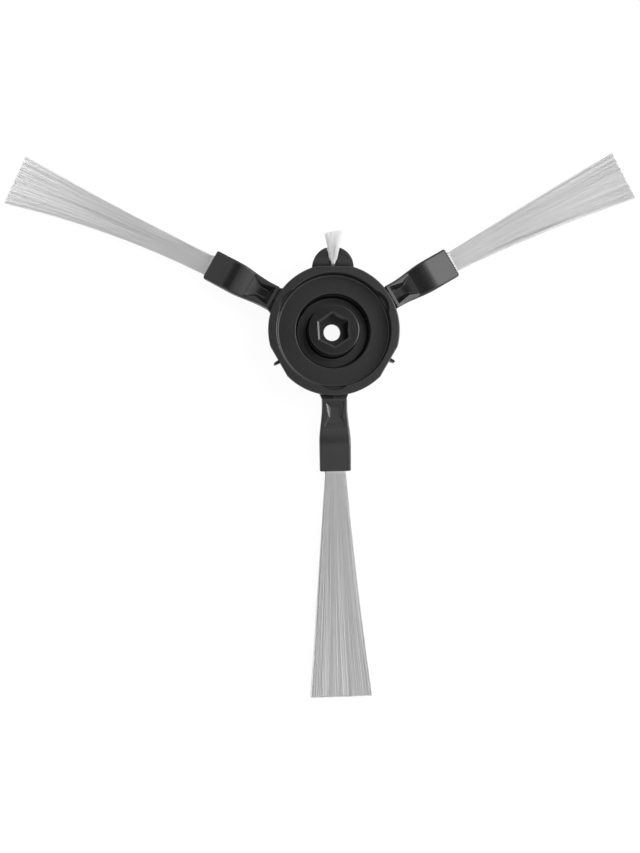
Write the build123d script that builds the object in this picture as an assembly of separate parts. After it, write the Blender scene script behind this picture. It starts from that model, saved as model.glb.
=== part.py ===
from build123d import *

import math
import os

# Robot vacuum side brush, lying with its drive side up. All sizes in millimetres.
# The origin is on the spin axis, in the plane of the hub's underside. +Z points to the robot
# and the lug with the short tuft points along +Y.

# Hub: a round cup with a flat rim
hub_height = 13.2
foot_radius = 9.8
skirt_radius = 15.2
skirt_height = 9.0
belly_bulge = 0.9
rim_radius = 16.53
rim_flat_distance = 15.95
rim_thickness = 2.2
rim_opening_radius = 14.35
rim_edge_round = 0.3
rim_inner_round = 0.2

# Dish inside the rim, and the ring-shaped recess round the boss
dish_depth = 4.4
dish_round = 2.4
recess_radius = 9.24
recess_floor = 2.2
recess_edge_round = 0.45

# Shallow reliefs that widen the rim's opening towards each arm
relief_radius = 5.0
relief_reach = 15.3
relief_depth = 2.4
relief_draft = 12.0

# Drive boss with its socket, and the screw hole under it
boss_radius = 6.4
boss_drop = 0.5
boss_edge_round = 0.3
socket_across_flats = 7.35
socket_turn = 4.0
socket_floor = 3.6
socket_lead_in = 0.45
socket_lead_depth = 0.25
screw_hole_radius = 2.15
screw_head_radius = 4.2
screw_head_depth = 1.6

# Half-round lug beside the rim, with a sloping shelf for the short tuft
lug_radius = 5.25
lug_centre = 16.25
lug_top = 8.6
lug_thickness = 3.8
lug_edge_round = 0.25
shelf_start = 18.7
shelf_step = 0.3
shelf_slope = 10.0

# Small nibs under the rim, at its other two flats
left_nib_angle = 210.0
right_nib_angle = 332.8
nib_reach = 17.4
nib_thickness = 0.6
nib_height = 3.6

# Arm directions, anticlockwise from +X
left_arm_angle = 151.15
right_arm_angle = 30.5
bottom_arm_angle = 271.3

# Soft arm, along its own radial line
arm_start = 17.2
arm_end = 35.5
arm_root_width = 6.25
arm_pad_width = 7.85
arm_flare_start = 18.8
arm_flare_end = 28.2
arm_root_top = 9.4
arm_root_bottom = 4.1
arm_end_bottom = 2.75
arm_corner_round = 0.5
arm_end_round = 0.45

# The arm's top falls to a waist, rises to a crest and bends down into the pad
waist = 24.0
waist_top = 7.05
waist_round = 2.0
crest = 28.4
crest_top = 7.6
pad_start = 30.4
pad_slope = 14.5

# Trough in the arm's top between the root and the waist, where its side walls run out
trough_end_wall = 0.6
trough_floor = 6.35
trough_width = 2.2
trough_draft = 26.0
trough_floor_round = 0.45
trough_flare_start = 21.8
trough_flare_width = 4.8
ramp_start = 20.5

# Hub stub and the tongue inside the arm
stub_width = 6.1
stub_root_width = 8.6
stub_bottom = 4.3
stub_top = 7.3
tongue_width = 3.6
tongue_cover = 0.6
tongue_length = 4.0
web_thickness = 1.0
web_top = 9.0

# Long tufts: flat fans of bristle
tuft_root_width = 5.6
tuft_root_thickness = 1.9
tuft_root_corner = 0.7
tuft_root_depth = 5.5
tuft_collar = 0.5
tuft_fan_inset = 0.15
tuft_tip_thickness = 1.3
tuft_tip_height = 0.85
flute_count = 9
flute_depth = 0.16
left_tuft_length = 54.5
left_tuft_turn = 4.85
left_tuft_shift = 0.35
left_tuft_middle_width = 7.3
left_tuft_tip_width = 13.2
left_tuft_bow = -0.65
right_tuft_length = 51.3
right_tuft_turn = -3.3
right_tuft_shift = 0.0
right_tuft_middle_width = 8.8
right_tuft_tip_width = 13.3
right_tuft_bow = 0.47
bottom_tuft_length = 57.7
bottom_tuft_turn = 0.42
bottom_tuft_shift = 0.05
bottom_tuft_middle_width = 10.35
bottom_tuft_tip_width = 16.0
bottom_tuft_bow = -0.2

# Short tuft in the lug, and its anchor
short_hole_position = 17.45
short_hole_radius = 0.9
short_hole_depth = 2.6
short_hole_tilt = 62.0
short_groove_flare = 24.0
short_groove_clearance = 0.12
short_tuft_radius = 0.62
short_tuft_shift = 0.25
short_tuft_lean = 24.0
short_tuft_length = 8.0
short_tuft_neck = 0.8
short_tuft_neck_width = 2.1
short_tuft_middle_width = 3.3
short_tuft_tip_width = 5.15
short_tuft_tip_thickness = 1.0
short_flute_count = 6
staple_width = 1.5
staple_thickness = 0.35
staple_height = 1.3

# Heights and places that follow from the sizes above
rim_bottom = hub_height - rim_thickness
dish_floor = hub_height - dish_depth
boss_top = hub_height - boss_drop
pad_start_top = crest_top - (pad_start - crest) * math.tan(math.radians(pad_slope / 2))
arm_end_top = pad_start_top - (arm_end - pad_start) * math.tan(math.radians(pad_slope))
tuft_root_height = (arm_end_top + arm_end_bottom) / 2
tongue_bottom = arm_root_bottom + tongue_cover
tongue_top = trough_floor - tongue_cover
arm_angles = (left_arm_angle, right_arm_angle, bottom_arm_angle)
arm_directions = (30.0, 150.0, 270.0)
flat_directions = (90.0, 210.0, 330.0)
upwards = Rot(0, 90, 0)


def at_angle(angle):
    return Rot(0, 0, angle)


def block(x0, x1, y0, y1, z0, z1):
    """A box between two corners."""
    box = Box(x1 - x0, y1 - y0, z1 - z0)
    return Pos((x0 + x1) / 2, (y0 + y1) / 2, (z0 + z1) / 2) * box


def nearest_vertices(face, points):
    """The face's corners that lie nearest to the given points of the X-Y plane."""
    corners = []
    for x, y in points:
        corners.append(min(face.vertices(), key=lambda v: math.hypot(v.X - x, v.Y - y)))
    return corners


def hub_section():
    """Half section of the cup: radius along X, height along Y."""
    arc_top = dish_floor + dish_round
    belly = ((foot_radius + skirt_radius) / 2 + belly_bulge, skirt_height / 2 - belly_bulge)
    flat_edge = rim_opening_radius - dish_round
    lines = [
        Line((0, 0), (foot_radius, 0)),
        ThreePointArc((foot_radius, 0), belly, (skirt_radius, skirt_height)),
        Line((skirt_radius, skirt_height), (skirt_radius, rim_bottom)),
        Line((skirt_radius, rim_bottom), (rim_radius, rim_bottom)),
        Line((rim_radius, rim_bottom), (rim_radius, hub_height)),
        Line((rim_radius, hub_height), (rim_opening_radius, hub_height)),
        Line((rim_opening_radius, hub_height), (rim_opening_radius, arc_top)),
        RadiusArc((rim_opening_radius, arc_top), (flat_edge, dish_floor), dish_round),
        Line((flat_edge, dish_floor), (recess_radius, dish_floor)),
        Line((recess_radius, dish_floor), (recess_radius, recess_floor)),
        Line((recess_radius, recess_floor), (boss_radius, recess_floor)),
        Line((boss_radius, recess_floor), (boss_radius, boss_top)),
        Line((boss_radius, boss_top), (0, boss_top)),
        Line((0, boss_top), (0, 0)),
    ]
    face = make_face(lines)
    rounds = [
        ((recess_radius, dish_floor), recess_edge_round),
        ((recess_radius, recess_floor), recess_edge_round),
        ((boss_radius, recess_floor), recess_edge_round),
        ((boss_radius, boss_top), boss_edge_round),
    ]
    for point, radius in rounds:
        face = fillet(nearest_vertices(face, [point]), radius)
    return face


def rim_outline():
    """The rim's plan: a disc with three shallow flats."""
    outline = Circle(rim_radius)
    for angle in flat_directions:
        beyond = Pos(rim_flat_distance + rim_radius, 0) * Rectangle(2 * rim_radius, 4 * rim_radius)
        outline -= Rot(0, 0, angle) * beyond
    return outline


def relief(angle):
    """Crescent that widens the opening towards an arm, with a wall that leans back."""
    outline = Pos(relief_reach - relief_radius, 0) * Circle(relief_radius)
    crescent = Pos(0, 0, hub_height) * extrude(outline, -relief_depth, taper=relief_draft)
    bowl = Pos(0, 0, hub_height - relief_depth) * extrude(Circle(recess_radius), relief_depth)
    return at_angle(angle) * (crescent - bowl)


def lug():
    """Half-round tab with a shelf that slopes down towards the rim."""
    tab = extrude(Pos(0, lug_centre) * Circle(lug_radius), lug_thickness)
    tab = fillet(tab.faces().sort_by(Axis.Z)[-1].edges(), lug_edge_round)
    tab = Pos(0, 0, lug_top - lug_thickness) * tab
    shelf = block(-lug_radius, lug_radius, -2 * lug_radius, 0, 0, lug_thickness)
    shelf = Pos(0, shelf_start, lug_top - shelf_step) * Rot(shelf_slope, 0, 0) * shelf
    return tab - shelf


def nib(angle):
    """Thin pointed fin on the skirt, below the rim."""
    half = nib_thickness / 2
    fin = make_face(Polyline((skirt_radius - 1, -2 * half), (nib_reach - half, -half), (nib_reach, 0),
                             (nib_reach - half, half), (skirt_radius - 1, 2 * half), close=True))
    return at_angle(angle) * Pos(0, 0, rim_bottom - nib_height) * extrude(fin, nib_height)


def arm_tongue(angle):
    """Stub that the arm butts against, with the tongue inside the arm and the web seen in the slot."""
    inside = recess_radius + recess_edge_round + 1
    tip = arm_start + tongue_length
    root = stub_root_width / 2
    end = stub_width / 2
    outline = Polyline((inside, -root), (skirt_radius - 1, -root), (arm_start, -end),
                       (arm_start, end), (skirt_radius - 1, root), (inside, root), close=True)
    stub = Pos(0, 0, stub_bottom) * extrude(make_face(outline), stub_top - stub_bottom)
    tongue = block(inside, tip, -tongue_width / 2, tongue_width / 2, tongue_bottom, tongue_top)
    tongue = fillet(tongue.edges().filter_by(Axis.Z).group_by(Axis.X)[-1], tongue_width / 4)
    web = block(skirt_radius - 1, arm_start, -web_thickness / 2, web_thickness / 2, stub_bottom, web_top)
    return at_angle(angle) * (stub + tongue + web)


def short_hole_place():
    """Frame of the short tuft's hole: origin in its mouth on the shelf, X out along the hole."""
    mouth_height = lug_top - shelf_step - (shelf_start - short_hole_position) * math.tan(math.radians(shelf_slope))
    return Pos(0, short_hole_position, mouth_height) * Rot(0, 0, 90) * Rot(0, -short_hole_tilt, 0)


def short_tuft_place():
    """Frame of the short tuft's fan: origin at the bend, X out along the bristles."""
    bend = short_hole_place() * Pos(0, 0, -short_tuft_shift)
    return Pos(bend.position) * Rot(0, 0, 90) * Rot(0, -short_tuft_lean, 0)


def short_hole():
    """Blind hole for the short tuft, and the flared groove in which the bristles lie back and spread."""
    above = Pos(0, 0, -short_hole_depth) * extrude(Circle(short_hole_radius), short_hole_depth + short_hole_radius)
    groove_radius = short_tuft_radius + short_groove_clearance
    groove = extrude(Circle(groove_radius), short_tuft_length / 2, taper=-short_groove_flare)
    groove = upwards * groove + Sphere(groove_radius)
    return short_hole_place() * upwards * above + short_tuft_place() * groove


def drive_socket():
    """Hexagonal socket down the boss, with a small lead-in."""
    hexagon = RegularPolygon(socket_across_flats / 2, 6, major_radius=False, rotation=30 + socket_turn)
    wide = RegularPolygon(socket_across_flats / 2 + socket_lead_in, 6, major_radius=False,
                          rotation=30 + socket_turn)
    socket = Pos(0, 0, socket_floor) * extrude(hexagon, hub_height - socket_floor)
    lead = loft([Pos(0, 0, boss_top - socket_lead_depth) * hexagon, Pos(0, 0, boss_top) * wide])
    return socket + lead


def make_hub():
    hub = revolve(Plane.XZ * hub_section(), Axis.Z)
    hub &= extrude(rim_outline(), hub_height)
    rim_top = hub.faces().sort_by(Axis.Z)[-1]
    hub = fillet(rim_top.outer_wire().edges(), rim_edge_round)
    rim_top = hub.faces().sort_by(Axis.Z)[-1]
    hub = fillet(rim_top.inner_wires()[0].edges(), rim_inner_round)
    for angle in arm_directions:
        hub -= relief(angle)
    hub += lug()
    for angle in (left_nib_angle, right_nib_angle):
        hub += nib(angle)
    for angle in arm_angles:
        hub += arm_tongue(angle)
    hub -= short_hole()
    hub -= drive_socket()
    hub -= extrude(Circle(screw_hole_radius), hub_height)
    hub -= extrude(Circle(screw_head_radius), screw_head_depth)
    return hub


def smooth_step(low, high, value):
    """0 below low, 1 above high, and a smooth S between them."""
    share = min(max((value - low) / (high - low), 0), 1)
    return share * share * (3 - 2 * share)


def arm_width(x):
    return arm_root_width + (arm_pad_width - arm_root_width) * smooth_step(arm_flare_start, arm_flare_end, x)


def arm_plan():
    """Outline of the arm from above: straight at the root, flaring smoothly to the pad."""
    flare = [arm_flare_start + (arm_flare_end - arm_flare_start) * step / 6 for step in range(7)]
    edges = []
    for side in (1, -1):
        root = (arm_start, side * arm_root_width / 2)
        pad = (arm_end, side * arm_pad_width / 2)
        curve = [(x, side * arm_width(x) / 2) for x in flare]
        edges += [Line(root, curve[0]), Spline(curve, tangents=[(1, 0), (1, 0)]), Line(curve[-1], pad)]
    ends = [Line((x, -arm_width(x) / 2), (x, arm_width(x) / 2)) for x in (arm_start, arm_end)]
    return make_face(edges + ends)


def arm_side():
    """Outline of the arm from the side, before the trough is cut."""
    outline = make_face([
        Line((arm_start, arm_root_top), (waist, waist_top)),
        TangentArc((crest, crest_top), (waist, waist_top), tangent=(-1, 0)),
        TangentArc((crest, crest_top), (pad_start, pad_start_top), tangent=(1, 0)),
        Line((pad_start, pad_start_top), (arm_end, arm_end_top)),
        Line((arm_end, arm_end_top), (arm_end, arm_end_bottom)),
        Line((arm_end, arm_end_bottom), (arm_start, arm_root_bottom)),
        Line((arm_start, arm_root_bottom), (arm_start, arm_root_top)),
    ])
    return fillet(nearest_vertices(outline, [(waist, waist_top)]), waist_round)


def trough():
    """Open channel with leaning walls. Its floor rises to the waist, where it widens and the walls run out."""
    height = 2 * (arm_root_top - trough_floor)
    lean = (arm_root_top - trough_floor) * math.tan(math.radians(trough_draft))
    root = arm_start + trough_end_wall + lean
    half = trough_width / 2
    flare = trough_flare_width / 2
    tip = 2 * waist - trough_flare_start
    wide = 2 * flare - half
    outline = Polyline((root, -half), (trough_flare_start, -half), (waist, -flare), (tip, -wide),
                       (tip, wide), (waist, flare), (trough_flare_start, half), (root, half), close=True)
    channel = Pos(0, 0, trough_floor) * extrude(make_face(outline), height, taper=-trough_draft)
    floor = Line((arm_start, trough_floor), (ramp_start, trough_floor))
    ramp = TangentArc((ramp_start, trough_floor), (waist, waist_top), tangent=(1, 0))
    beyond = ramp % 1
    rise = (tip + lean - waist) * beyond.Y / beyond.X
    lid = Polyline((waist, waist_top), (tip + lean, waist_top + rise), (tip + lean, trough_floor + height),
                   (arm_start, trough_floor + height), (arm_start, trough_floor))
    side = Plane.XZ * make_face([floor, ramp, lid])
    channel &= extrude(side, arm_pad_width, both=True)
    corners = [e for e in channel.edges().filter_by(lambda e: e.center().Z < trough_floor + trough_floor_round)
               if abs(e.center().Y) > half / 2 and e.length > trough_width / 2]
    return fillet(corners, trough_floor_round)


def make_arm(angle, turn, shift):
    arm = extrude(arm_plan(), arm_root_top) & extrude(Plane.XZ * arm_side(), arm_pad_width, both=True)
    long_edges = [e for e in arm.edges() if abs(abs(e.center().Y) - arm_width(e.center().X) / 2) < 0.1
                  and e.bounding_box().size.X > e.bounding_box().size.Z]
    arm = fillet(long_edges, arm_corner_round)
    arm = fillet(arm.faces().sort_by(Axis.X)[-1].edges(), arm_end_round)
    arm -= trough()
    arm -= tuft_place(turn, shift, 0) * tuft_root(arm_end_round)
    arm = at_angle(angle) * arm
    return arm - arm_tongue(angle)


def tuft_place(turn, shift, droop):
    """Frame of a long tuft on an arm that lies along +X: origin in the pad's end, X along the bristles."""
    return Pos(arm_end, shift, tuft_root_height) * Rot(0, 0, turn) * Rot(0, droop, 0)


def tuft_root(collar):
    """Fused root of a long tuft, which the pad is moulded round."""
    plane = Plane(origin=(-tuft_root_depth, 0, 0), x_dir=(0, 1, 0), z_dir=(1, 0, 0))
    outline = plane * RectangleRounded(tuft_root_width, tuft_root_thickness, tuft_root_corner)
    return extrude(outline, tuft_root_depth + collar)


def fluted_section(x, offset, width, thickness, count):
    """Flat outline with a row of small bulges on both sides, like bundled bristles."""
    plane = Plane(origin=(x, offset, 0), x_dir=(0, 1, 0), z_dir=(1, 0, 0))
    depth = min(flute_depth, thickness / 4, width / count / 4)
    valley = thickness / 2 - depth
    edge = width / 2 - valley / 2
    pitch = 2 * edge / count
    lines = []
    for side in (1, -1):
        for i in range(count):
            a = side * (i * pitch - edge)
            b = side * ((i + 1) * pitch - edge)
            lines.append(ThreePointArc((a, side * valley), ((a + b) / 2, side * thickness / 2), (b, side * valley)))
        lines.append(ThreePointArc((side * edge, side * valley), (side * width / 2, 0), (side * edge, -side * valley)))
    return plane * make_face(lines)


def through_three(a, b, c, share):
    """Smooth value that is a at the root, b half way and c at the tip."""
    return a * (1 - share) * (1 - 2 * share) + 4 * b * share * (1 - share) + c * share * (2 * share - 1)


def fan(length, widths, thicknesses, bow, count):
    """Fan of bristles along +X, with widths at its root, middle and tip and thicknesses at its two ends."""
    sections = []
    for share in (0, 0.25, 0.5, 0.75, 1):
        width = through_three(*widths, share)
        thickness = thicknesses[0] + (thicknesses[1] - thicknesses[0]) * share
        offset = 4 * bow * share * (1 - share)
        sections.append(fluted_section(length * share, offset, width, thickness, count))
    return loft(sections)


def make_long_tuft(angle, turn, shift, length, middle_width, tip_width, bow):
    """Level root in the pad, and the bristles that droop from it towards the floor."""
    droop = math.degrees(math.atan2(tuft_root_height - tuft_tip_height, length))
    widths = (tuft_root_width - 2 * tuft_fan_inset, middle_width, tip_width)
    thicknesses = (tuft_root_thickness - 2 * tuft_fan_inset, tuft_tip_thickness)
    bristles = tuft_place(turn, shift, droop) * fan(length, widths, thicknesses, bow, flute_count)
    return at_angle(angle) * (bristles + tuft_place(turn, shift, 0) * tuft_root(tuft_collar))


def staple():
    """Flat wire anchor across the bottom of the short tuft's hole."""
    return block(-short_hole_depth, -short_hole_depth + staple_height, -staple_width / 2, staple_width / 2,
                 -staple_thickness / 2, staple_thickness / 2)


def make_short_tuft():
    """Round root in the hole, a bend at its mouth, and the bristles that lie back and spread."""
    root = Pos(0, 0, -short_hole_depth) * extrude(Circle(short_tuft_radius), short_hole_depth)
    root = Pos(0, 0, -short_tuft_shift) * upwards * root
    root_size = short_tuft_radius * math.sqrt(2)
    neck = fan(short_tuft_neck, (root_size, (root_size + short_tuft_neck_width) / 2, short_tuft_neck_width),
               (root_size, short_tuft_tip_thickness), 0, short_flute_count)
    spread = (short_tuft_neck_width, short_tuft_middle_width, short_tuft_tip_width)
    thicknesses = (short_tuft_tip_thickness, short_tuft_tip_thickness)
    bristles = fan(short_tuft_length - short_tuft_neck, spread, thicknesses, 0, short_flute_count)
    bristles = neck + Pos(short_tuft_neck, 0, 0) * bristles + Sphere(short_tuft_radius)
    return short_hole_place() * (root - staple()) + short_tuft_place() * bristles


def make_short_tuft_staple():
    return short_hole_place() * staple()


LONG_TUFTS = {
    "left": (left_arm_angle, left_tuft_turn, left_tuft_shift, left_tuft_length,
             left_tuft_middle_width, left_tuft_tip_width, left_tuft_bow),
    "right": (right_arm_angle, right_tuft_turn, right_tuft_shift, right_tuft_length,
              right_tuft_middle_width, right_tuft_tip_width, right_tuft_bow),
    "bottom": (bottom_arm_angle, bottom_tuft_turn, bottom_tuft_shift, bottom_tuft_length,
               bottom_tuft_middle_width, bottom_tuft_tip_width, bottom_tuft_bow),
}

os.makedirs("parts", exist_ok=True)
export_step(make_hub(), "parts/hub.step")
for side, sizes in LONG_TUFTS.items():
    export_step(make_arm(*sizes[:3]), f"parts/arm_{side}.step")
    export_step(make_long_tuft(*sizes), f"parts/tuft_{side}.step")
export_step(make_short_tuft(), "parts/short_tuft.step")
export_step(make_short_tuft_staple(), "parts/short_tuft_staple.step")
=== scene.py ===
import math

import bpy
import numpy as np
from mathutils import Matrix, Vector


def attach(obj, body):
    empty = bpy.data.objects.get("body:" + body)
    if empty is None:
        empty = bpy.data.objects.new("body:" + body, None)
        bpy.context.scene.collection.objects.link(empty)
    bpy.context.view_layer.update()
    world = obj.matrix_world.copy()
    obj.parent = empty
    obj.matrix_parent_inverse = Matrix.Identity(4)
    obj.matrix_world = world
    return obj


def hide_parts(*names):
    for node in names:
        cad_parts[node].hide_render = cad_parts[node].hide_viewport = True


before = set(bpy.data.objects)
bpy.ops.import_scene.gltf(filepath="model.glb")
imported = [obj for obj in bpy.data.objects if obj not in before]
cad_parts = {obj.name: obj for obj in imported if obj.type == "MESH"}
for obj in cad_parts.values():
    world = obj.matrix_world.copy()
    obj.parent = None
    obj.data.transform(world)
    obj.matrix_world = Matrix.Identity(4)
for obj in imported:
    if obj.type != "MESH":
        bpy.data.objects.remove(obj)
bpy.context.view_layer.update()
scene = bpy.context.scene
scene.view_settings.view_transform = "Standard"

# Camera: almost straight above the brush, a little to the left and below the hub, so that the right
# and upper walls of the cup show. The long side of the picture is its height.
picture_width = 640
picture_height = 853
hub_column = 334.3
hub_row = 329.1
pixel_at_rim = 0.00025
rim_height = 0.0132
camera_left = 0.027
camera_below = 0.038
camera_distance = 0.45
camera_place = Vector((-camera_left, -camera_below, rim_height + camera_distance))
aim_right = (picture_width / 2 - hub_column) * pixel_at_rim
aim_up = (hub_row - picture_height / 2) * pixel_at_rim
aim = Vector((aim_right, aim_up, rim_height))
camera_data = bpy.data.cameras.new("camera")
camera_data.sensor_width = 36
camera_data.lens = camera_data.sensor_width * (aim - camera_place).length / (picture_height * pixel_at_rim)
camera_data.clip_start = 0.01
camera_data.clip_end = 20
camera = bpy.data.objects.new("camera", camera_data)
scene.collection.objects.link(camera)
look = (aim - camera_place).normalized()
sideways = look.cross(Vector((0, 1, 0))).normalized()
upwards = sideways.cross(look)
camera_turn = Matrix((sideways, upwards, -look)).transposed().to_4x4()
camera.matrix_world = Matrix.Translation(camera_place) @ camera_turn
scene.camera = camera


# Floor and light: a plain white sweep inside a white tent. The tent has a dark opening above, a softbox
# at the upper right and a strong low light at the right. The floor takes the brush's soft shadow.
class Wire:
    """One output in a material's nodes. Arithmetic on it adds Math nodes."""

    def __init__(self, finish, socket):
        self.finish = finish
        self.socket = socket

    def math(self, operation, first, second):
        return self.finish.node("ShaderNodeMath", {"operation": operation}, {0: first, 1: second})

    def __add__(self, other):
        return self.math("ADD", self, other)

    def __radd__(self, other):
        return self.math("ADD", other, self)

    def __sub__(self, other):
        return self.math("SUBTRACT", self, other)

    def __rsub__(self, other):
        return self.math("SUBTRACT", other, self)

    def __mul__(self, other):
        return self.math("MULTIPLY", self, other)

    def __rmul__(self, other):
        return self.math("MULTIPLY", other, self)


class Finish:
    """A material, or the world, whose nodes are added one by one."""

    def __init__(self, name, owner=None):
        self.owner = owner or bpy.data.materials.new(name)
        self.owner.use_nodes = True
        self.tree = self.owner.node_tree
        self.tree.nodes.clear()

    def node(self, kind, settings=None, inputs=None, output=0):
        """Adds a node: its settings first, then the value or link of each named or numbered socket."""
        made = self.tree.nodes.new(kind)
        for name, value in (settings or {}).items():
            setattr(made, name, value)
        for name, value in (inputs or {}).items():
            if isinstance(value, Wire):
                self.tree.links.new(value.socket, made.inputs[name])
            else:
                made.inputs[name].default_value = value
        return Wire(self, made.outputs[output]) if made.outputs else made

    def place(self):
        """Place on the piece, in metres."""
        return self.node("ShaderNodeTexCoord", output="Object")

    def noise(self, scale, detail, roughness, stretch=(1, 1, 1)):
        """Cloudy values from 0 to 1, with features of about 1 / scale metres."""
        where = self.node("ShaderNodeMapping", {}, {"Vector": self.place(), "Scale": stretch})
        return self.node("ShaderNodeTexNoise", {},
                         {"Vector": where, "Scale": scale, "Detail": detail, "Roughness": roughness})

    def spread(self, value, low, high, to_low, to_high):
        """Maps low to high onto to_low to to_high, and holds it there."""
        return self.node("ShaderNodeMapRange", {"clamp": True},
                         {"Value": value, "From Min": low, "From Max": high,
                          "To Min": to_low, "To Max": to_high})

    def blend(self, share, first, second):
        """Colour between first and second."""
        return self.node("ShaderNodeMix", {"data_type": "RGBA"}, {0: share, 6: first, 7: second}, output=2)

    def bump(self, height, strength, distance):
        """Fine relief that turns the surface's normal."""
        return self.node("ShaderNodeBump", {},
                         {"Height": height, "Strength": strength, "Distance": distance})

    def surface(self, shader, kind="ShaderNodeOutputMaterial"):
        """Ends the material, or the world, with its shader."""
        self.node(kind, {}, {"Surface": shader})
        return self.owner


def grey(value):
    return (value, value, value, 1)


floor_reach = 3.0
floor_drop = 0.00005
floor_colour = grey(0.9)
floor_in_mirrors = 0.4
floor_in_view = 1.03
background_share = 0.9
floor_finish = Finish("white_sweep")
camera_ray = floor_finish.node("ShaderNodeLightPath", output="Is Camera Ray")
mirror_ray = floor_finish.node("ShaderNodeLightPath", output="Is Glossy Ray")
lit = floor_finish.node("ShaderNodeBsdfDiffuse", {}, {"Color": floor_colour})
mirrored = floor_finish.node("ShaderNodeEmission", {}, {"Color": grey(1), "Strength": floor_in_mirrors})
plain = floor_finish.node("ShaderNodeEmission", {}, {"Color": grey(1), "Strength": floor_in_view})
lit_or_mirrored = floor_finish.node("ShaderNodeMixShader", {}, {0: mirror_ray, 1: lit, 2: mirrored})
floor_shader = floor_finish.node("ShaderNodeMixShader", {},
                                 {0: camera_ray * background_share, 1: lit_or_mirrored, 2: plain})
floor_mesh = bpy.data.meshes.new("floor")
corners = [(-floor_reach, -floor_reach), (floor_reach, -floor_reach), (floor_reach, floor_reach),
           (-floor_reach, floor_reach)]
floor_mesh.from_pydata([(x, y, -floor_drop) for x, y in corners], [], [(0, 1, 2, 3)])
floor_mesh.materials.append(floor_finish.surface(floor_shader))
floor = bpy.data.objects.new("floor", floor_mesh)
scene.collection.objects.link(floor)

tent_light_left = 0.69
tent_light_right = 0.95
level = 90
brighter_side = 20
side_blend = 0.5
# Patches of the tent: how far from overhead and which way they lie, their radius and soft edge in
# degrees, and their brightness
opening = (13.3, 152, 15.4, 1.0, 0.02)
softbox = (33.8, 22, 16.8, 1.0, 3.4)
low_light = (93, 0, 33, 1.5, 8.5)
world = bpy.data.worlds.new("tent")
scene.world = world
tent = Finish("tent", world)
direction = tent.node("ShaderNodeTexCoord", output="Generated")


def nearness_to(from_top, azimuth):
    """Cosine of the angle between the way looked and a place in the tent."""
    middle = Vector((math.sin(math.radians(from_top)), 0, math.cos(math.radians(from_top))))
    middle.rotate(Matrix.Rotation(math.radians(azimuth), 3, "Z"))
    return tent.node("ShaderNodeVectorMath", {"operation": "DOT_PRODUCT"}, {0: direction, 1: middle},
                     output=1)


brightness = tent.spread(nearness_to(level, brighter_side), -side_blend, side_blend,
                         tent_light_left, tent_light_right)
for from_top, azimuth, radius, soft_edge, value in (opening, softbox, low_light):
    outer = math.cos(math.radians(radius + soft_edge))
    inner = math.cos(math.radians(radius - soft_edge))
    inside = tent.spread(nearness_to(from_top, azimuth), outer, inner, 0, 1)
    brightness = brightness + inside * (value - brightness)
camera_ray = tent.node("ShaderNodeLightPath", output="Is Camera Ray")
around = tent.node("ShaderNodeBackground", {}, {"Color": grey(1), "Strength": brightness})
white = tent.node("ShaderNodeBackground", {}, {"Color": grey(1), "Strength": 1.0})
tent_shader = tent.node("ShaderNodeMixShader", {}, {0: camera_ray, 1: around, 2: white})
tent.surface(tent_shader, "ShaderNodeOutputWorld")

# A broad lamp above lifts the pale bristles; the black parts do not mirror it
overhead_size = 1.0
overhead_power = 1.7
overhead_height = 1.0
overhead_light = bpy.data.lights.new("overhead", "AREA")
overhead_light.size = overhead_size
overhead_light.energy = overhead_power
overhead = bpy.data.objects.new("overhead", overhead_light)
overhead.location = (0, 0, overhead_height)
overhead.visible_glossy = False
scene.collection.objects.link(overhead)


# Hub: one hard moulding in black plastic, cup, boss, lug, nibs and arm stubs together. Its skin has the
# fine even grain of a spark-eroded mould and faint flow clouds. The boss's face has painted shade that
# makes it darker, and a smoother gloss.
moulded_ior = 1.58
cloud_scale = 130
speck_share = 0.4
mottling_low = 0.35
mottling_high = 0.65
grain_strength = 0.35
# Nearly all of a noise lies between these two
noise_low = 0.3
noise_high = 0.7
# Painted shade on the boss's face: a darker colour than the rest of the hub, with a smoother gloss
painted_boss_shade = grey(0.002)
boss_face_roughness = 0.16


def moulded_black(name, deep, pale, dull, glossy, grain, grain_depth, shade_and_gloss=None):
    """Black moulded skin: clouded colour and gloss over a fine grain, with painted shade and a smoother
    gloss inside a given mask.
    """
    finish = Finish(name)
    clouds = finish.noise(cloud_scale, detail=3, roughness=0.55)
    specks = finish.noise(grain, detail=2, roughness=0.6)
    colour = finish.blend(finish.spread(clouds, noise_low, noise_high, 0, 1), grey(deep), grey(pale))
    mottling = clouds * (1 - speck_share) + specks * speck_share
    roughness = finish.spread(mottling, mottling_low, mottling_high, dull, glossy)
    if shade_and_gloss:
        mask = shade_and_gloss(finish)
        # Inside the mask: painted shade that darkens the colour, and a smoother gloss
        colour = finish.blend(mask, colour, painted_boss_shade)
        roughness = roughness + mask * (boss_face_roughness - roughness)
    normal = finish.bump(specks, grain_strength, grain_depth)
    shader = finish.node("ShaderNodeBsdfPrincipled", {},
                         {"Base Color": colour, "Roughness": roughness, "Normal": normal,
                          "Specular IOR Level": 0.5, "IOR": moulded_ior})
    return finish.surface(shader)


boss_reach = 0.0068
boss_top = 0.0127
boss_fade = 0.0002


def boss_face(finish):
    """1 on the flat face of the boss and 0 elsewhere."""
    where = finish.place()
    height = finish.node("ShaderNodeSeparateXYZ", {}, {"Vector": where}, output=2)
    in_plan = finish.node("ShaderNodeVectorMath", {"operation": "MULTIPLY"}, {0: where, 1: (1, 1, 0)})
    from_axis = finish.node("ShaderNodeVectorMath", {"operation": "LENGTH"}, {0: in_plan}, output=1)
    near_axis = finish.spread(from_axis, boss_reach, boss_reach + boss_fade, 1, 0)
    return near_axis * finish.spread(height, boss_top - boss_fade, boss_top - boss_fade / 2, 0, 1)


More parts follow.
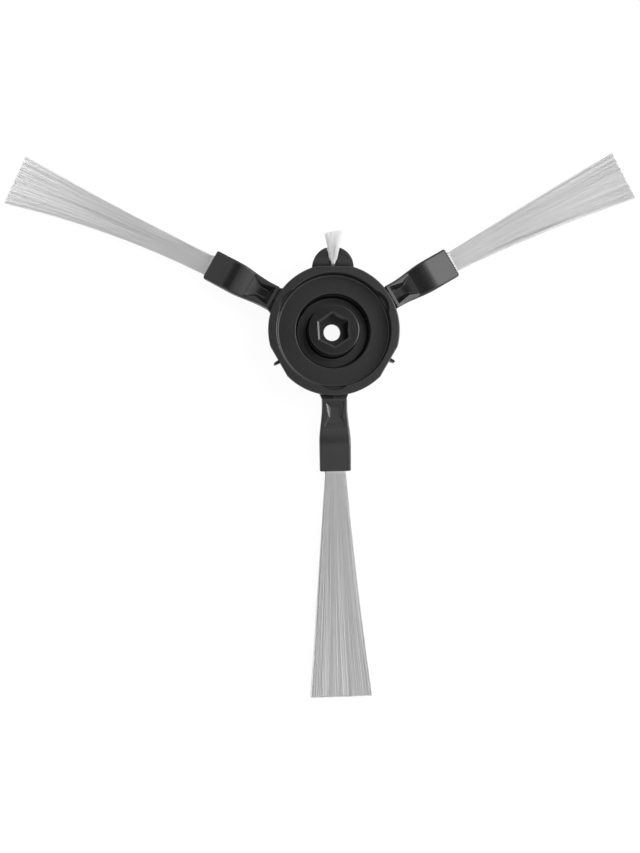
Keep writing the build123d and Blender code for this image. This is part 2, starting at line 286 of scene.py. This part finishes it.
def reshaped(node, name, move):
    """Stands in for a solid with a copy whose points are moved a little; its normals turn with them."""
    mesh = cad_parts[node].data.copy()
    points = np.empty(3 * len(mesh.vertices))
    mesh.vertices.foreach_get("co", points)
    points = points.reshape(-1, 3)
    normals = np.array([corner.vector for corner in mesh.corner_normals])
    at = points[[loop.vertex_index for loop in mesh.loops]]
    nudge = 0.000001
    stretch = [(move(at + nudge * axis) - move(at - nudge * axis)) / (2 * nudge) for axis in np.eye(3)]
    stretch = np.stack(stretch, axis=2)
    normals = np.linalg.solve(stretch.transpose(0, 2, 1), normals[:, :, None])[:, :, 0]
    normals /= np.linalg.norm(normals, axis=1, keepdims=True)
    mesh.vertices.foreach_set("co", move(points).ravel())
    mesh.normals_split_custom_set(normals.tolist())
    mesh.materials.clear()
    piece = bpy.data.objects.new(name, mesh)
    scene.collection.objects.link(piece)
    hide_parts(node)
    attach(piece, "root")
    return piece


hub_plastic = moulded_black("hub_plastic", deep=0.008, pale=0.012, dull=0.27, glossy=0.19,
                            grain=2600, grain_depth=0.000004, shade_and_gloss=boss_face)
rim_opening = 0.01435
rim_inner_edge = 0.0130
recess_edge = 0.0097
dish_floor = 0.0088
dish_round = 0.0024
tight_round = 0.0006
gentle_rise = 0.00011
rise_side = math.radians(15)
rise_focus = 1.5
hair = 0.00001
least_radius = 0.001


def tighter_dish(points):
    """Draws the round between the cup's wall and floor together, and lifts the floor a little at right."""
    radius = np.hypot(points[:, 0], points[:, 1])
    height = points[:, 2]
    new_radius = np.interp(radius, [recess_edge, rim_opening - dish_round, rim_opening],
                           [recess_edge, rim_opening - tight_round, rim_opening])
    new_height = np.interp(height, [dish_floor, dish_floor + dish_round, rim_inner_edge],
                           [dish_floor, dish_floor + tight_round, rim_inner_edge])
    in_cup = ((radius > recess_edge) & (radius < rim_opening + hair)
              & (height > dish_floor - hair) & (height < rim_inner_edge))
    from_axis = np.maximum(radius, least_radius)
    scale = np.where(in_cup, new_radius / from_axis, 1)
    facing = (points[:, 0] * math.cos(rise_side) + points[:, 1] * math.sin(rise_side)) / from_axis
    outwards = (radius * scale - recess_edge) / (rim_opening - tight_round - recess_edge)
    rise = gentle_rise * np.maximum(facing, 0) ** rise_focus * np.clip(outwards, 0, 1) ** 2
    new_height = new_height + rise * np.clip(1 - (new_height - dish_floor) / tight_round, 0, 1)
    new_height = np.where(in_cup, new_height, height)
    return np.stack([points[:, 0] * scale, points[:, 1] * scale, new_height], axis=1)


hub_moulding = reshaped("hub", "hub_moulding", tighter_dish)
hub_moulding.data.materials.append(hub_plastic)

# Arms: three soft arms in black rubber, moulded over the hub's tongues. The rubber is smoother than
# the hub, so its scooped tops carry broad soft reflections.
arm_rubber = moulded_black("arm_rubber", deep=0.008, pale=0.012, dull=0.24, glossy=0.18,
                           grain=1500, grain_depth=0.000005)
# Angle of each arm, and how much of its trough's depth is left
arms = {"left": (151.15, 0.75), "right": (30.5, 1.0), "bottom": (271.3, 0.42)}
arm_start = 0.0172
arm_root_top = 0.0094
arm_half_width = 0.003125
arm_edge_round = 0.00047
flare_start = 0.0188
flare = 0.085
waist = 0.0240
waist_top = 0.00705
trough_bottom = 0.0063
end_wall_edge = 0.0003


def shallower_trough(points, angle, share):
    """Lifts the trough's floor and walls towards the arm's top, which leaves a share of its depth."""
    heading = np.array([math.cos(math.radians(angle)), math.sin(math.radians(angle)), 0])
    aside = np.array([-heading[1], heading[0], 0])
    along = points @ heading
    across = np.abs(points @ aside)
    height = points[:, 2]
    top = arm_root_top + (along - arm_start) * (waist_top - arm_root_top) / (waist - arm_start)
    edge = arm_half_width + np.maximum(along - flare_start, 0) * flare - arm_edge_round
    in_trough = ((across < edge) & (along > arm_start + end_wall_edge) & (along < waist)
                 & (height > trough_bottom) & (height < top))
    lifted = np.where(in_trough, top - share * (top - height), height)
    return np.stack([points[:, 0], points[:, 1], lifted], axis=1)


for side, (angle, trough_share) in arms.items():
    arm = reshaped("arm_" + side, "rubber_arm_" + side,
                   lambda points: shallower_trough(points, angle, trough_share))
    arm.data.materials.append(arm_rubber)

# Long tufts: flat fans of pale nylon filament, fused at the root into a flat bead that the arm's pad
# is moulded round. The filaments run out side by side and spread, and their ends are cut straight.
arm_end = 0.0355
root_height = 0.00439
tip_height = 0.00085
root_width = 0.0056
root_thickness = 0.0019
root_corner = 0.0007
root_depth = 0.0055
collar = 0.0005
fan_inset = 0.00015
tip_thickness = 0.0013
filament = 0.00014
strand_sides = 6
strand_stations = 9
bundle_squareness = 6
bundle_corner = 1.5


def through_three(root, middle, tip, share):
    """Smooth value that is root at 0, middle half way and tip at 1."""
    from_root = root * (1 - share) * (1 - 2 * share)
    from_middle = 4 * middle * share * (1 - share)
    return from_root + from_middle + tip * share * (2 * share - 1)


def packed_rows(width, thickness, diameter):
    """Centres of round strands packed in a flat bundle, as shares of its half width and half thickness."""
    rows = max(1, int((thickness - diameter) / (diameter * math.sqrt(3) / 2)) + 1)
    columns = int((width - diameter) / diameter)
    places = []
    for row in range(rows):
        above = 2 * row / max(1, rows - 1) - 1
        for column in range(columns):
            aside = (2 * column + 1 + (row % 2 - 0.5)) / columns - 1
            if abs(aside) ** bundle_squareness + abs(above) ** bundle_squareness < bundle_corner:
                places.append((aside, above))
    return np.array(places)


def evened(values):
    """The same order of values, spaced evenly from -1 to 1."""
    return 2 * (np.argsort(np.argsort(values)) + 0.5) / len(values) - 1


def mixed_tips(places, aside_mixing, above_mixing, chance):
    """Places of the strands at the tip, spread evenly and a little out of their order at the root."""
    count = len(places)
    aside = evened(places[:, 0] + chance.normal(0, aside_mixing, count))
    above = evened(places[:, 1] + chance.normal(0, above_mixing, count))
    return aside[:, None], above[:, None]


def rings_joined(index):
    """Quads between neighbouring rings of points, where index holds strands by stations by sides."""
    low = index[:, :-1]
    high = index[:, 1:]
    return np.stack([low, np.roll(low, -1, 2), np.roll(high, -1, 2), high], axis=3).reshape(-1, 4).tolist()


def strands(paths, diameter, sides):
    """Closed round strands along paths, an array of strands by stations by X, Y, Z."""
    count, stations, _ = paths.shape
    along = np.gradient(paths, axis=1)
    along /= np.linalg.norm(along, axis=2, keepdims=True)
    across = np.cross(along, (0.0, 0.0, 1.0))
    across /= np.linalg.norm(across, axis=2, keepdims=True)
    over = np.cross(across, along)
    turn = 2 * np.pi * np.arange(sides) / sides
    ring = across[:, :, None] * np.cos(turn)[:, None] + over[:, :, None] * np.sin(turn)[:, None]
    points = paths[:, :, None] + ring * diameter / 2
    index = np.arange(count * stations * sides).reshape(count, stations, sides)
    faces = rings_joined(index) + index[:, 0, ::-1].tolist() + index[:, -1].tolist()
    return points.reshape(-1, 3), faces


bead_corner_steps = 6
# Where the bead's ends start to narrow, and the share of its size that is left at each end
bead_inner_end = (0.0002, 0.85)
bead_outer_end = (0.00018, 0.86)


def bead(depth, reach, width, thickness, radius):
    """Flat bar with rounded edges along X, the fused root of a tuft."""
    inner_bevel, inner_share = bead_inner_end
    outer_bevel, outer_share = bead_outer_end
    stations = [(-depth, inner_share), (-depth + inner_bevel, 1.0), (reach - outer_bevel, 1.0),
                (reach, outer_share)]
    outline = []
    for quarter in range(4):
        centre_y = (width / 2 - radius) * (1 if quarter in (0, 3) else -1)
        centre_z = (thickness / 2 - radius) * (1 if quarter in (0, 1) else -1)
        for step in range(bead_corner_steps):
            turn = math.pi / 2 * (quarter + step / (bead_corner_steps - 1))
            outline.append((centre_y + radius * math.cos(turn), centre_z + radius * math.sin(turn)))
    points = []
    for x, share in stations:
        points += [(x, y - (1 - share) * math.copysign(radius, y), z * share) for y, z in outline]
    index = np.arange(len(points)).reshape(len(stations), len(outline))
    faces = rings_joined(index[None]) + [index[0, ::-1].tolist(), index[-1].tolist()]
    return np.array(points), faces


core_share = 0.75
core_sides = 24
core_roundness = 0.4
core_stop = 0.0004


def core(along, middle, width, thickness):
    """Flat closed body inside a bundle, in place of the strands that never show."""
    turn = 2 * np.pi * np.arange(core_sides) / core_sides
    outline_y = np.sign(np.cos(turn)) * np.abs(np.cos(turn)) ** core_roundness
    outline_z = np.sign(np.sin(turn)) * np.abs(np.sin(turn)) ** core_roundness
    across = middle[:, None] + outline_y * width[:, None] / 2
    lift = outline_z * thickness[:, None] / 2
    points = np.stack(np.broadcast_arrays(along[:, None], across, lift), axis=2)
    index = np.arange(len(along) * core_sides).reshape(len(along), core_sides)
    return points.reshape(-1, 3), rings_joined(index[None]) + [index[0, ::-1].tolist(), index[-1].tolist()]


smooth_below = math.radians(50)


def tuft_mesh(name, parts):
    """Joins (place, points, faces, shade) parts into one mesh with a shade for each point."""
    placed = []
    faces = []
    tones_and_painted_light = []
    start = 0
    for place, part_points, part_faces, shade in parts:
        turn = np.array(place.to_3x3())
        placed.append(part_points @ turn.T + np.array(place.translation))
        faces += [[start + i for i in face] for face in part_faces]
        tones_and_painted_light.append(np.broadcast_to(shade, len(part_points)))
        start += len(part_points)
    mesh = bpy.data.meshes.new(name)
    mesh.from_pydata(np.concatenate(placed).tolist(), [], faces)
    tone = mesh.attributes.new("strand_tone_and_painted_light", "FLOAT", "POINT")
    tone.data.foreach_set("value", np.concatenate(tones_and_painted_light).astype(np.float32))
    mesh.shade_smooth()
    mesh.set_sharp_from_angle(angle=smooth_below)
    piece = bpy.data.objects.new(name, mesh)
    scene.collection.objects.link(piece)
    return piece


nylon_streak_scale = 60
nylon_streak_share = 0.1
nylon_smooth = 0.34
nylon_rough = 0.46
nylon_translucency = 0.6
light_reach = 0.0005


def nylon(name, dark, light):
    """Pale translucent filament, each strand a little lighter or darker than the next, under the painted
    light and shade that each tuft's tones carry.
    """
    finish = Finish(name)
    tone = finish.node("ShaderNodeAttribute", {"attribute_name": "strand_tone_and_painted_light"}, output="Fac")
    streaks = finish.noise(nylon_streak_scale, detail=2, roughness=0.5)
    tone = tone * (1 - nylon_streak_share) + streaks * nylon_streak_share
    colour = finish.blend(finish.spread(tone, 0, 1, 0, 1), grey(dark), grey(light))
    roughness = finish.spread(streaks, noise_low, noise_high, nylon_smooth, nylon_rough)
    shader = finish.node("ShaderNodeBsdfPrincipled", {},
                         {"Base Color": colour, "Roughness": roughness, "Specular IOR Level": 0.5,
                          "Subsurface Weight": nylon_translucency, "Subsurface Radius": (1, 1, 1),
                          "Subsurface Scale": light_reach})
    return finish.surface(shader)


nylon_filament = nylon("nylon_filament", dark=0.40, light=0.97)
# Angle, turn, shift, length, widths at middle and tip, bow, and tones at root, middle and tip; these tones
# hold painted light and shade, which make the tufts lighter or darker than each other and darker at the root
long_tufts = {
    "left": (151.15, 4.85, 0.00035, 0.0545, 0.0073, 0.0132, -0.00065, (0.12, 0.47, 0.92)),
    "right": (30.5, -3.3, 0.0, 0.0513, 0.0088, 0.0133, 0.00047, (0.2, 0.38, 0.33)),
    "bottom": (271.3, 0.42, 0.00005, 0.0577, 0.01035, 0.0160, -0.0002, (0.02, 0.16, 0.2)),
}
first_seed = 100
aside_mixing = 0.03
above_mixing = 0.5
uneven_ends = 0.0012
streak_count = 12
streak_depth = 0.05
strand_variation = 0.02
bead_shade = 0.1
bundle_width = root_width - 2 * fan_inset
bundle_thickness = root_thickness - 2 * fan_inset
for number, (side, sizes) in enumerate(long_tufts.items()):
    angle, turn, shift, length, middle_width, tip_width, bow, tones_and_painted_light = sizes
    chance = np.random.default_rng(first_seed + number)
    places = packed_rows(bundle_width, bundle_thickness, filament)
    count = len(places)
    aside_root = places[:, :1]
    above_root = places[:, 1:]
    aside_tip, above_tip = mixed_tips(places, aside_mixing, above_mixing, chance)
    share = np.linspace(0, 1, strand_stations)[None, :]
    width = through_three(bundle_width, middle_width, tip_width, share) - filament
    thickness = bundle_thickness + (tip_thickness - bundle_thickness) * share - filament
    bowed = 4 * bow * share * (1 - share)
    across = bowed + (aside_root + (aside_tip - aside_root) * share) * width / 2
    lift = (above_root + (above_tip - above_root) * share) * thickness / 2
    along = share * length * (1 + chance.normal(0, uneven_ends, (count, 1)))
    paths = np.stack(np.broadcast_arrays(along, across, lift), axis=2)
    points, faces = strands(paths, filament, strand_sides)
    streaks = chance.uniform(-streak_depth, streak_depth, streak_count)
    streak = np.interp(aside_tip, np.linspace(-1, 1, streak_count), streaks)
    streak = streak + chance.normal(0, strand_variation, (count, 1))
    # Painted light and shade along the tuft, with random streaks and strand tones on top
    shade = np.clip(through_three(*tones_and_painted_light, share) + streak, 0, 1)
    core_points, core_faces = core(share[0] * (length - core_stop), bowed[0], width[0] - filament,
                                   core_share * thickness[0])
    core_shade = np.repeat(through_three(*tones_and_painted_light, share)[0], core_sides)
    root_points, root_faces = bead(root_depth, collar, root_width, root_thickness, root_corner)
    pad_end = (Matrix.Rotation(math.radians(angle), 4, "Z")
               @ Matrix.Translation((arm_end, shift, root_height))
               @ Matrix.Rotation(math.radians(turn), 4, "Z"))
    droop = math.atan2(root_height - tip_height, length)
    drooping = pad_end @ Matrix.Rotation(droop, 4, "Y")
    tuft = tuft_mesh("bristles_" + side, [(drooping, points, faces, np.repeat(shade, strand_sides)),
                                          (drooping, core_points, core_faces, core_shade),
                                          (pad_end, root_points, root_faces, bead_shade)])
    tuft.data.materials.append(nylon_filament)
    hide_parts("tuft_" + side)
    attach(tuft, "root")

# Short tuft: a small bundle of the same nylon, folded over its staple at the bottom of the lug's hole.
# It comes out round, bends back over the lug and spreads flat towards its cut end.
lug_top = 0.0086
shelf_step = 0.0003
shelf_start = 0.0187
shelf_slope = math.radians(10)
hole_position = 0.01745
hole_depth = 0.0026
hole_tilt = math.radians(62)
mouth_height = lug_top - shelf_step - (shelf_start - hole_position) * math.tan(shelf_slope)
short_radius = 0.00062
short_shift = 0.00025
short_lean = math.radians(24)
short_length = 0.008
short_neck = 0.0008
short_neck_width = 0.0021
short_middle_width = 0.0033
short_tip_width = 0.00515
short_thickness = 0.001
short_tip_slant = 0.0005
short_uneven_ends = 0.00004
short_filament = 0.00012
short_aside_mixing = 0.06
short_shade = 0.92
short_variation = 0.08
short_painted_tip_shade = 0.12
short_seed = 104
fold_share = 0.93
bend_reach = 0.0004
chance = np.random.default_rng(short_seed)
places = packed_rows(2 * short_radius, 2 * short_radius, short_filament)
places = places[np.hypot(places[:, 0], places[:, 1]) < 1.0]
count = len(places)
aside_root = places[:, :1]
above_root = places[:, 1:]
aside_tip, above_tip = mixed_tips(places, short_aside_mixing, above_mixing, chance)
# Stations along the tuft, measured from the hole's mouth and closer together where it bends
distance = np.array([-hole_depth * fold_share, -0.001, -bend_reach, 0, bend_reach, short_neck, 0.0016, 0.003,
                     0.0045, 0.006, 0.007, short_length])
lean = np.interp(distance, [-bend_reach, bend_reach], [hole_tilt, short_lean])
half_width = np.interp(distance, [0, short_neck, short_length / 2, short_length],
                       [short_radius, short_neck_width / 2, short_middle_width / 2, short_tip_width / 2])
half_width = half_width - short_filament / 2
half_thickness = np.interp(distance, [0, short_neck], [short_radius, short_thickness / 2])
half_thickness = half_thickness - short_filament / 2
spread_share = np.clip(distance / short_length, 0, 1)
steps = np.diff(distance)
middle_lean = (lean[1:] + lean[:-1]) / 2
centre_y = np.concatenate([[0], np.cumsum(steps * np.cos(middle_lean))])
centre_z = np.concatenate([[0], np.cumsum(steps * np.sin(middle_lean))])
mouth = int(np.nonzero(distance == 0)[0][0])
centre_y += hole_position + short_shift * math.sin(hole_tilt) - centre_y[mouth]
centre_z += mouth_height - short_shift * math.cos(hole_tilt) - centre_z[mouth]
aside = aside_root + (aside_tip - aside_root) * spread_share
above = above_root + (above_tip - above_root) * spread_share
end_cut = spread_share ** 4 * (short_tip_slant * aside + chance.normal(0, short_uneven_ends, (count, 1)))
paths = np.stack([-aside * half_width,
                  centre_y - above * half_thickness * np.sin(lean) - end_cut * np.cos(lean),
                  centre_z + above * half_thickness * np.cos(lean) - end_cut * np.sin(lean)], axis=2)
points, faces = strands(paths, short_filament, strand_sides)
strand_shade = chance.normal(short_shade, short_variation, (count, 1))
# Painted shade: the short tuft gets darker towards its cut end
shade = np.clip(strand_shade - short_painted_tip_shade * spread_share, 0, 1)
short_parts = [(Matrix.Identity(4), points, faces, np.repeat(shade, strand_sides))]
short_tuft = tuft_mesh("bristles_short", short_parts)
short_tuft.data.materials.append(nylon_filament)
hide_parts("short_tuft")
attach(short_tuft, "root")

# Staple: a short piece of flat steel wire driven across the hole, which holds the short tuft's fold.
# Its solid stays as it is and only gets the fine lengthwise streaks of drawn wire.
steel_dark = grey(0.5)
steel_light = grey(0.68)
steel_smooth = 0.25
steel_rough = 0.45
streak_scale = 900
streak_stretch = (1, 12, 12)
steel = Finish("staple_wire")
drawn = steel.noise(streak_scale, detail=2, roughness=0.6, stretch=streak_stretch)
steel_roughness = steel.spread(drawn, noise_low, noise_high, steel_smooth, steel_rough)
steel_shader = steel.node("ShaderNodeBsdfPrincipled", {},
                          {"Base Color": steel.blend(drawn, steel_dark, steel_light), "Metallic": 1.0,
                           "Roughness": steel_roughness,
                           "Normal": steel.bump(drawn, strength=0.3, distance=0.00001)})
staple_wire = steel.surface(steel_shader)
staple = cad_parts["short_tuft_staple"]
staple.material_slots[0].link = "OBJECT"
staple.material_slots[0].material = staple_wire
